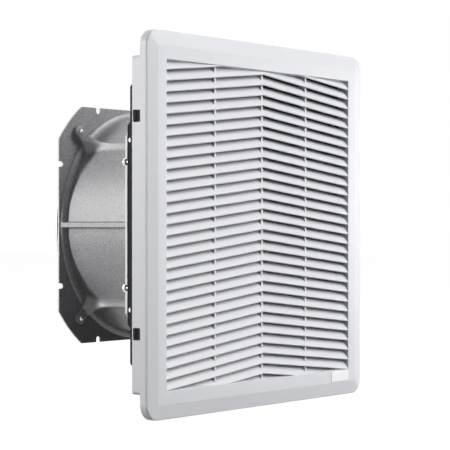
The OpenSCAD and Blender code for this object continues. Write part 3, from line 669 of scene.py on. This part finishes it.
def ring_radius(theta, y):
    """Outer radius of the fan's cast ring: drum, rolled ends, side ribs and corner ridges."""
    r = ring_profile(min(y - RING_Y0, RING_Y1 - y))
    from_side = RING_OUT * math.sin(math.radians((theta + 45) % 90 - 45))
    r += (max(r, BEAD_R) - r) * ridge_step(from_side, SIDE_RIB_FLAT, SIDE_RIB_FADE)
    from_corner = RING_OUT * math.sin(math.radians(theta % 90 - 45))
    gap = corner_ridge(from_corner, abs(y - RING_MID) / (RING_Y1 - RING_MID)) - r
    return r + 0.5 * (gap + math.sqrt(gap * gap + BLEND)) - BLEND_LIFT


def ring_angles():
    """Angles round the ring, closer together at the side ribs and the corner crests."""
    side = [0, 0.6, 1.05, 1.3, 1.55, 1.75, 2.2, 3.2] + [5 + 2.0 * i for i in range(14)]
    crest = [33, 34.5, 36, 37.4, 38.6, 39.7, 40.7, 41.6, 42.4, 43.1, 43.7, 44.2, 44.6, 44.85]
    half = side + crest
    quarter = half + [45] + [90 - a for a in reversed(half[1:])]
    return [90 * q + a for q in range(4) for a in quarter]


def ring_depths(length):
    """Distances from the front plate, closer together at the rolled ends."""
    end = [0, 0.5, 1.0, 1.5, 1.9, 2.3, 2.6, 2.85, 3.05, 3.2, 3.3, 3.36, 3.4, 3.6, 4.0, 4.6, 5.5, 6.8, 8.4]
    drum = [end[-1] + (length - 2 * end[-1]) * i / 24 for i in range(1, 24)]
    return end + drum + [length - d for d in reversed(end)]


def lug_outline(inset):
    """A tongue: round about the screw and straight towards the drum, in parts of the diagonal."""
    radius = (LUG_R - inset) / math.sqrt(2)
    inner = -(LUG_REACH - inset) / math.sqrt(2)
    steps = 20
    arc = [polar(radius, math.radians(180 * i / steps - 90)) for i in range(steps + 1)]
    return [(inner, -radius)] + arc + [(inner, radius)]


def add_lug(bm, sx, sz, y0, turn):
    """A screw lug that stands on an end plate, with a rounded top edge."""
    loops = []
    for inset, rise in ((0, 0), (0, LUG_H - 0.6), (0.18, LUG_H - 0.18), (0.6, LUG_H)):
        loops.append([(sx * (LUG_X + out) - sz * across, y0 + turn * rise, sz * (LUG_X + out) + sx * across)
                      for out, across in lug_outline(inset)])
    skin(bm, loops, closed=False)


def make_ring():
    bm = bmesh.new()
    length = RING_Y1 - RING_Y0
    angles = ring_angles()

    def place(r, a, d):
        x, z = polar(r, math.radians(a))
        return x, RING_Y0 + d, z

    loops = [[place(ring_radius(a, RING_Y0 + d), a, d) for a in angles] for d in ring_depths(length)]
    flared = (0, 2.0, 5.0, FLARE_LENGTH)
    for d in [length - f for f in flared] + list(reversed(flared)):
        flare = RING_FLARE * max(0.0, 1 - min(d, length - d) / FLARE_LENGTH) ** 2
        loops.append([place(RING_IN + flare, a, d) for a in angles])
    skin(bm, loops)
    for sx in SIDES:
        for sz in SIDES:
            add_lug(bm, sx, sz, RING_Y0, 1)
            add_lug(bm, sx, sz, RING_Y1, -1)
    piece("fan_ring", bm, "cast_aluminium", "frame", "fan_housing", smooth_angle=50)


# Sheet plates and screws
def make_plate(node):
    """A painted sheet whose cut edges are bare bright metal."""
    plate = from_node(node, 0.25)
    plate.data.materials.append(MATERIALS["cut_edge"])
    for face in plate.data.polygons:
        face.material_index = 1 if abs(face.normal.y) < 0.5 else 0


def make_carrier():
    """The black carrier plate, whose straight sides reach a little further out, as in the photograph."""
    plate = from_node("carrier_plate", 0.2)
    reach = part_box("carrier_plate")[1].x
    for vertex in plate.data.vertices:
        for side, along in ((0, 2), (2, 0)):
            if abs(vertex.co[side]) > reach - 0.01 * MM:
                vertex.co[side] += math.copysign(CARRIER_OUT * MM, vertex.co[side])
                vertex.co[along] -= math.copysign(CARRIER_OUT * MM, vertex.co[along])
                break


def add_screw_tips(bm):
    """Rounded tips of the corner screws, which look out of the rear lugs."""
    tip = [(1.0, -0.4), (1.0, SCREW_TIP), (0.9, SCREW_TIP + 0.5), (0.66, SCREW_TIP + 0.9),
           (0.3, SCREW_TIP + 1.15)]
    for sx in SIDES:
        for sz in SIDES:
            lathe(bm, [(SCREW_R * share, -out) for share, out in tip], ALONG_Y,
                  (sx * LUG_X, RING_Y1 - LUG_H, sz * LUG_X), 24)


# Impeller
def between(pair, share):
    return pair[0] + (pair[1] - pair[0]) * share


def blade_station(r, fraction, side):
    """A point of a blade: tangential and axial place of the cambered, twisted section at a radius."""
    outward = (r - HUB_R) / (TIP_R - HUB_R)
    pitch = math.radians(between(BLADE_PITCH, outward))
    along = (fraction - 0.5) * between(BLADE_CHORD, outward)
    bulge = math.sqrt(max(0.0, math.sin(math.pi * fraction ** BLADE_FORWARD)))
    thick = between(BLADE_THICK, outward) * (BLADE_EDGE + (1 - BLADE_EDGE) * bulge)
    lift = BLADE_CAMBER * math.sin(math.pi * fraction) + side * thick / 2
    return (along * math.cos(pitch) - lift * math.sin(pitch),
            along * math.sin(pitch) + lift * math.cos(pitch))


def make_impeller():
    bm = bmesh.new()
    across = [i / 14 for i in range(15)]
    section = [(f, -1) for f in across] + [(f, 1) for f in reversed(across)]
    root = HUB_R - BLADE_ROOT
    radii = [root + (TIP_R - root) * i / 10 for i in range(11)]
    for turn in full_turn(BLADES):
        loops = []
        for r in radii:
            loop = []
            for fraction, side in section:
                tangential, axial = blade_station(r, fraction, side)
                x, z = polar(r, turn + tangential / r)
                loop.append((x, HUB_Y + axial, z))
            loops.append(loop)
        skin(bm, loops, closed=False)
    end = [(HUB_IN, HUB_HALF), (HUB_R - 0.6, HUB_HALF), (HUB_R - 0.2, HUB_HALF - 0.2),
           (HUB_R, HUB_HALF - 0.7)]
    loops = []
    for r, h in [(r, -h) for r, h in end] + list(reversed(end)):
        loops.append([(r * math.cos(a), HUB_Y + h, r * math.sin(a)) for a in full_turn(96)])
    skin(bm, loops)
    piece("impeller_blades", bm, "black_paint", "rotor", "impeller", smooth_angle=40)


# Filter mat
def make_mat():
    """A fleece pad whose two faces are uneven."""
    mat = piece("filter_fleece", node_mesh("filter_mat"), "filter_fleece", "frame", "filter_mat")
    remesh = mat.modifiers.new("fibres", "REMESH")
    remesh.mode = "VOXEL"
    remesh.voxel_size = MAT_CELL * MM
    remesh.use_smooth_shade = True
    bpy.context.view_layer.objects.active = mat
    bpy.ops.object.modifier_apply(modifier="fibres")
    middle_y = sum(corner.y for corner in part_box("filter_mat")) / 2
    for vertex in mat.data.vertices:
        co = vertex.co
        fluff = sum(solid_noise.noise(co * scale) * share for scale, share in (FLUFF_BROAD, FLUFF_FINE))
        side = 1 if co.y > middle_y else -1
        co.y -= side * MM * MAT_FLUFF * (1 + fluff)


# Windings
def make_windings():
    """Two coil ends: eight bunches of strands round the stator, in front and behind."""
    low, high = (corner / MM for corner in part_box("windings"))
    middle_r = (COIL_IN + COIL_OUT) / 2
    reach_r = (COIL_OUT - COIL_IN) / 2 - COIL_GAP
    reach_y = COIL_H / 2 - COIL_GAP
    bm = bmesh.new()
    for middle_y in (low.y + COIL_H / 2, high.y - COIL_H / 2):
        loops = []
        for a in full_turn(20):
            loop = []
            for t in full_turn(240):
                strand = STRAND_H * math.sin(STRANDS * t + STRAND_TWIST * a)
                bunch = 0.5 * (1 + math.cos(BUNCHES * t))
                x, z = polar(middle_r + (reach_r - BUNCH_R * bunch + strand) * math.cos(a), t)
                loop.append((x, middle_y + (reach_y - BUNCH_Y * bunch + strand) * math.sin(a), z))
            loops.append(loop)
        skin(bm, loops)
    piece("coil_ends", bm, "copper_wire", "frame", "windings", smooth_angle=60)


make_stage()
for node_name, node_object in NODES.items():
    node_object.data.materials.clear()
    node_object.data.materials.append(MATERIALS[SLOTS[node_name]])
make_cover()
make_badge()
make_louvres()
make_ring()
make_impeller()
make_mat()
make_windings()
make_plate("fan_front_plate")
make_plate("fan_rear_plate")
make_carrier()
from_node("corner_screws", 0.3, add_screw_tips)
# the other solids with soft edges, each with the width of its rounding
for solid, edge in (("base_frame", 0.22), ("fan_duct", 0.25), ("adapter_plate", 0.3), ("motor_spider", 0.6),
                    ("terminal_block", 0.5), ("clip_left_upper", 0.3), ("clip_left_lower", 0.3),
                    ("clip_right_upper", 0.3), ("clip_right_lower", 0.3), ("fan_nuts", 0.5),
                    ("fan_studs", 0.4), ("plate_screws", 0.4), ("front_plate_screws", 0.4),
                    ("adapter_rivets", 0.3), ("motor_base", 0.4), ("motor_screws", 0.4),
                    ("rotor_cup", 0.5), ("earth_screw", 0.4), ("terminal_screws", 0.3)):
    from_node(solid, edge)
